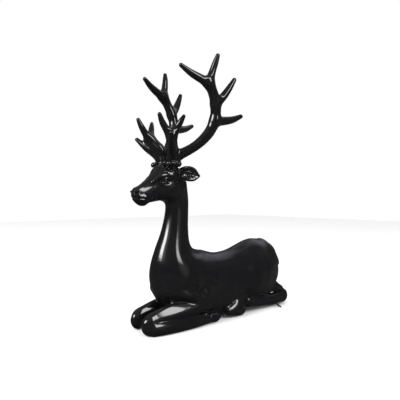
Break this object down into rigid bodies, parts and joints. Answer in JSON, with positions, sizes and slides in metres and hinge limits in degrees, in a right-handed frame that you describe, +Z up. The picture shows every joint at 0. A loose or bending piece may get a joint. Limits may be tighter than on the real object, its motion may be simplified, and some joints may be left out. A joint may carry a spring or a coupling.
{
  "type": "stag statue",
  "caption": "Statue of a lying stag with legs folded and head raised, in gloss black cast iron, with two branching antlers seated on its head.",
  "frame": {"origin": "centre of the bounding box at the flat underside", "axes": "+Z up, -X the way the head looks, -Y the stag's left side"},
  "size_m": [0.6408, 0.2694, 0.7959],
  "materials": {
    "enamelled_iron": "gloss black enamel"
  },
  "bodies": {
    "root": {"body": "enamelled_iron", "antler_left": "enamelled_iron", "antler_right": "enamelled_iron"}
  },
  "joints": []
}
